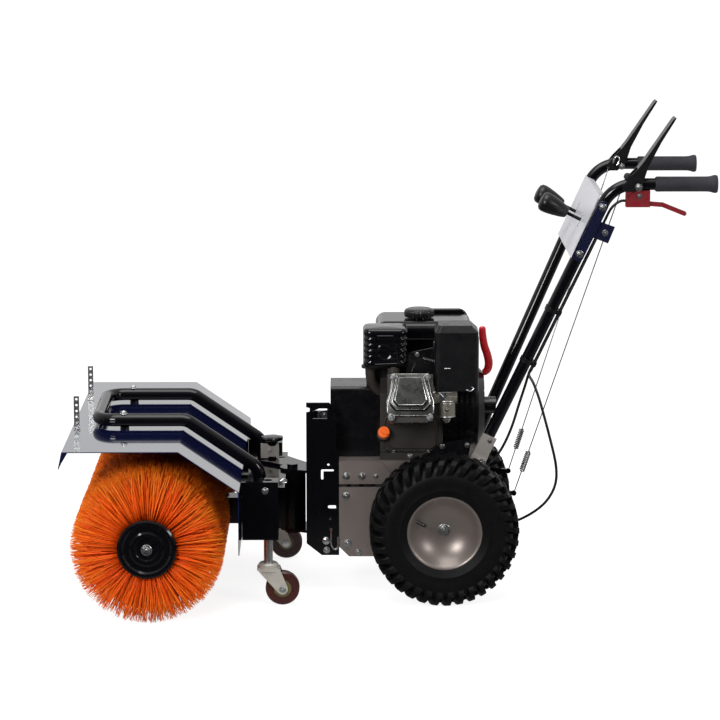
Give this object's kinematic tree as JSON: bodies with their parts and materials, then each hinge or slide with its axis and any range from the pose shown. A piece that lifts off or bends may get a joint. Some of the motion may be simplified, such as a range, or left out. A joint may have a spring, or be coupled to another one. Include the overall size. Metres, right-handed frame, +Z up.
{
  "type": "power brush sweeper",
  "caption": "Walk-behind power sweeper: engine-driven orange roller brush under a navy hood on a swivelling caster head, lugged drive wheels, handlebars with clutch levers",
  "frame": {"origin": "on the ground under the middle of the bounding box", "axes": "X forward to the brush, Y to the machine's left, Z up"},
  "size_m": [1.418, 0.8, 1.0779],
  "materials": {
    "tyre_rubber": "matte lugged",
    "taupe_paint": "metallic satin",
    "gear_case": "cast, painted grey",
    "black_paint": "gloss",
    "engine_grey": "cast",
    "bare_aluminium": "cast",
    "black_shell": "gloss",
    "muffler_steel": "matt heat-proof",
    "carburettor_metal": "cast",
    "red_plastic": "satin",
    "orange_plastic": "satin",
    "belt_rubber": "matt",
    "pulley_metal": "turned",
    "grip_rubber": "matt",
    "panel_silver": "satin",
    "navy_paint": "gloss",
    "zinc": "zinc plated",
    "cable_black": "satin",
    "bristle_orange": "satin strands",
    "caster_maroon": "satin"
  },
  "bodies": {
    "chassis": {"chassis_frame": "taupe_paint", "gear_case": "gear_case", "engine_bed": "taupe_paint", "front_frame": "black_paint", "handle_brackets": "taupe_paint", "belt_cover": "black_paint", "drive_belts": "belt_rubber", "engine_block": "engine_grey", "rocker_cover": "bare_aluminium", "recoil_housing": "black_shell", "fuel_tank": "black_shell", "muffler": "muffler_steel", "muffler_guard": "muffler_steel", "carburettor": "carburettor_metal", "air_filter": "black_shell", "handle_tubes": "black_paint", "grips": "grip_rubber", "control_panel": "panel_silver", "panel_plates": "navy_paint", "red_lever_box": "red_plastic", "sheathed_cables": "cable_black", "cable_clips": "cable_black"},
    "wheel_left": {"tyre_left": "tyre_rubber", "rim_left": "taupe_paint"},
    "wheel_right": {"tyre_right": "tyre_rubber", "rim_right": "taupe_paint"},
    "crank": {"crank_pulley": "pulley_metal"},
    "input": {"input_pulley": "pulley_metal"},
    "tank_cap": {"fuel_cap": "black_shell"},
    "oil_dipstick": {"dipstick": "orange_plastic"},
    "starter_grip": {"recoil_grip": "red_plastic"},
    "lever_left": {"clutch_lever_left": "black_paint"},
    "lever_right": {"clutch_lever_right": "black_paint"},
    "wire_left": {"clutch_wire_left": "zinc"},
    "wire_right": {"clutch_wire_right": "zinc"},
    "arm_left": {"tension_arm_left": "zinc"},
    "arm_right": {"tension_arm_right": "zinc"},
    "hand_lever": {"red_lever": "red_plastic"},
    "shift_left": {"shift_rod_left": "black_paint", "shift_knob_left": "black_shell"},
    "shift_right": {"shift_rod_right": "black_paint", "shift_knob_right": "black_shell"},
    "brush_head": {"head_beam": "black_paint", "loop_bar": "black_paint", "hood": "navy_paint", "hood_straps": "zinc", "hood_spacers": "zinc", "brush_gearbox": "black_paint"},
    "brush": {"brush_axle": "zinc", "bristles_left": "bristle_orange", "bristles_right": "bristle_orange", "end_discs": "black_paint"},
    "swivel_clamp": {"clamp_knob": "black_shell"},
    "stem_left": {"caster_stem_left": "zinc"},
    "stem_right": {"caster_stem_right": "zinc"},
    "fork_left": {"caster_fork_left": "zinc"},
    "fork_right": {"caster_fork_right": "zinc"},
    "roller_left": {"caster_wheel_left": "caster_maroon"},
    "roller_right": {"caster_wheel_right": "caster_maroon"}
  },
  "joints": [
    {"name": "wheel_left_spin", "type": "hinge", "parent": "chassis", "child": "wheel_left", "pos_m": [-0.121, 0.1875, 0.165], "axis": [0, 1, 0], "continuous": true},
    {"name": "wheel_right_spin", "type": "hinge", "parent": "chassis", "child": "wheel_right", "pos_m": [-0.121, -0.1875, 0.165], "axis": [0, 1, 0], "continuous": true},
    {"name": "head_swivel", "type": "hinge", "parent": "chassis", "child": "brush_head", "pos_m": [0.217, 0, 0.19], "axis": [0, 0, 1], "range_deg": [-15, 15]},
    {"name": "brush_spin", "type": "hinge", "parent": "brush_head", "child": "brush", "pos_m": [0.523, 0, 0.168], "axis": [0, 1, 0], "continuous": true},
    {"name": "clamp_turn", "type": "hinge", "parent": "brush_head", "child": "swivel_clamp", "pos_m": [0.26489, -0.09006, 0.275], "axis": [0, 0, 1], "range_deg": [0, 180]},
    {"name": "caster_left_height", "type": "slide", "parent": "brush_head", "child": "stem_left", "axis": [0, 0, 1], "range_m": [-0.02, 0.02]},
    {"name": "caster_left_swivel", "type": "hinge", "parent": "stem_left", "child": "fork_left", "pos_m": [0.267, 0.21, 0.086], "axis": [0, 0, 1], "continuous": true},
    {"name": "caster_left_spin", "type": "hinge", "parent": "fork_left", "child": "roller_left", "pos_m": [0.236, 0.21, 0.0375], "axis": [0, 1, 0], "continuous": true},
    {"name": "caster_right_height", "type": "slide", "parent": "brush_head", "child": "stem_right", "axis": [0, 0, 1], "range_m": [-0.02, 0.02]},
    {"name": "caster_right_swivel", "type": "hinge", "parent": "stem_right", "child": "fork_right", "pos_m": [0.267, -0.21, 0.086], "axis": [0, 0, 1], "continuous": true},
    {"name": "caster_right_spin", "type": "hinge", "parent": "fork_right", "child": "roller_right", "pos_m": [0.236, -0.21, 0.0375], "axis": [0, 1, 0], "continuous": true},
    {"name": "crank_spin", "type": "hinge", "parent": "chassis", "child": "crank", "pos_m": [0.029, 0, 0.406], "axis": [1, 0, 0], "continuous": true},
    {"name": "input_spin", "type": "hinge", "parent": "chassis", "child": "input", "pos_m": [0.029, 0, 0.15], "axis": [1, 0, 0], "continuous": true},
    {"name": "tank_cap_turn", "type": "hinge", "parent": "chassis", "child": "tank_cap", "pos_m": [-0.071, -0.05, 0.625], "axis": [0, 0, 1], "range_deg": [0, 90]},
    {"name": "dipstick_turn", "type": "hinge", "parent": "chassis", "child": "oil_dipstick", "pos_m": [0.011, 0.085, 0.355], "axis": [0, 0.9063, 0.4226], "range_deg": [0, 180]},
    {"name": "starter_pull", "type": "slide", "parent": "chassis", "child": "starter_grip", "axis": [-0.954, 0, 0.2998], "range_m": [0, 0.35], "stiffness_N_per_m": 20, "springref_m": -0.05},
    {"name": "clutch_left", "type": "hinge", "parent": "chassis", "child": "lever_left", "pos_m": [-0.537, 0.197, 0.926], "axis": [0, -1, 0], "range_deg": [0, 42], "stiffness_Nm_per_rad": 4, "springref_deg": -20.05},
    {"name": "wire_left_pull", "type": "slide", "parent": "chassis", "child": "wire_left", "axis": [-0.3105, 0, 0.9506], "range_m": [0, 0.0231]},
    {"name": "arm_left_swing", "type": "hinge", "parent": "chassis", "child": "arm_left", "pos_m": [-0.207, 0.1149, 0.232], "axis": [0, 1, 0], "range_deg": [0, 18.7]},
    {"name": "clutch_right", "type": "hinge", "parent": "chassis", "child": "lever_right", "pos_m": [-0.537, -0.197, 0.926], "axis": [0, -1, 0], "range_deg": [0, 42], "stiffness_Nm_per_rad": 4, "springref_deg": -20.05},
    {"name": "wire_right_pull", "type": "slide", "parent": "chassis", "child": "wire_right", "axis": [-0.3105, 0, 0.9506], "range_m": [0, 0.0231]},
    {"name": "arm_right_swing", "type": "hinge", "parent": "chassis", "child": "arm_right", "pos_m": [-0.207, -0.1149, 0.232], "axis": [0, 1, 0], "range_deg": [0, 18.7]},
    {"name": "hand_lever_squeeze", "type": "hinge", "parent": "chassis", "child": "hand_lever", "pos_m": [-0.555, 0.197, 0.889], "axis": [0, 1, 0], "range_deg": [0, 22], "stiffness_Nm_per_rad": 0.6, "springref_deg": -28.65},
    {"name": "shift_left_swing", "type": "hinge", "parent": "chassis", "child": "shift_left", "pos_m": [-0.46365, 0.07, 0.82022], "axis": [0, 1, 0], "range_deg": [-12, 12]},
    {"name": "shift_right_swing", "type": "hinge", "parent": "chassis", "child": "shift_right", "pos_m": [-0.46365, -0.07, 0.82022], "axis": [0, 1, 0], "range_deg": [-12, 12]}
  ],
  "couplings": [
    {"joint": "wire_left_pull", "follows": "clutch_left", "m_per_rad": 0.03042},
    {"joint": "arm_left_swing", "follows": "clutch_left", "ratio": 0.4366},
    {"joint": "wire_right_pull", "follows": "clutch_right", "m_per_rad": 0.03042},
    {"joint": "arm_right_swing", "follows": "clutch_right", "ratio": 0.4366}
  ]
}
